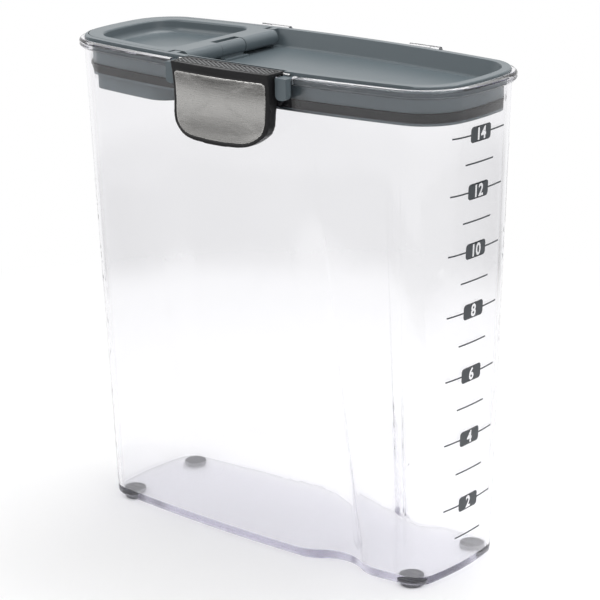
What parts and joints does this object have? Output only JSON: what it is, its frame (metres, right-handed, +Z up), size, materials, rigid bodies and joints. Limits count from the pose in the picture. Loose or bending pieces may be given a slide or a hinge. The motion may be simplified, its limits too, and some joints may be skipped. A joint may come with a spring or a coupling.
{
  "type": "food storage canister",
  "caption": "Tall clear food canister on rubber feet, with a sealed tray lid hinged on one side and latched on the other, and a hinged pour flap.",
  "frame": {"origin": "on the ground, under the middle of the whole, latch and hinge included", "axes": "+Z up; +X towards the end wall with the measuring scale, so the pour flap is at -X; the latch is at -Y and the lid's hinge at +Y"},
  "size_m": [0.2378, 0.1028, 0.2456],
  "materials": {
    "clear_plastic": "clear, glossy",
    "grey_plastic": "satin slate grey",
    "silicone": "matt",
    "foot_rubber": "matt",
    "black_plastic": "satin",
    "black_rubber": "ridged",
    "brushed_steel": "brushed lengthwise",
    "steel": "plain"
  },
  "bodies": {
    "canister": {"canister_body": "clear_plastic", "foot_1": "foot_rubber", "foot_2": "foot_rubber", "foot_3": "foot_rubber", "foot_4": "foot_rubber", "lid_hinge_pin": "steel"},
    "lid": {"lid_base": "grey_plastic", "main_gasket": "silicone", "flap_pin": "steel", "near_latch_pin": "steel"},
    "flap": {"flap": "grey_plastic", "flap_gasket": "silicone"},
    "near_latch": {"near_latch_lever": "black_plastic", "near_latch_grip": "black_rubber", "near_latch_plate": "brushed_steel"}
  },
  "joints": [
    {"name": "lid_hinge", "type": "hinge", "parent": "canister", "child": "lid", "pos_m": [0.0012, 0.04975, 0.2439], "axis": [-1, 0, 0], "range_deg": [0, 105]},
    {"name": "flap_hinge", "type": "hinge", "parent": "lid", "child": "flap", "pos_m": [-0.0383, 0.00475, 0.2418], "axis": [0, 1, 0], "range_deg": [0, 110]},
    {"name": "near_latch_hinge", "type": "hinge", "parent": "lid", "child": "near_latch", "pos_m": [0.0012, -0.03665, 0.2442], "axis": [-1, 0, 0], "range_deg": [0, 95]}
  ]
}
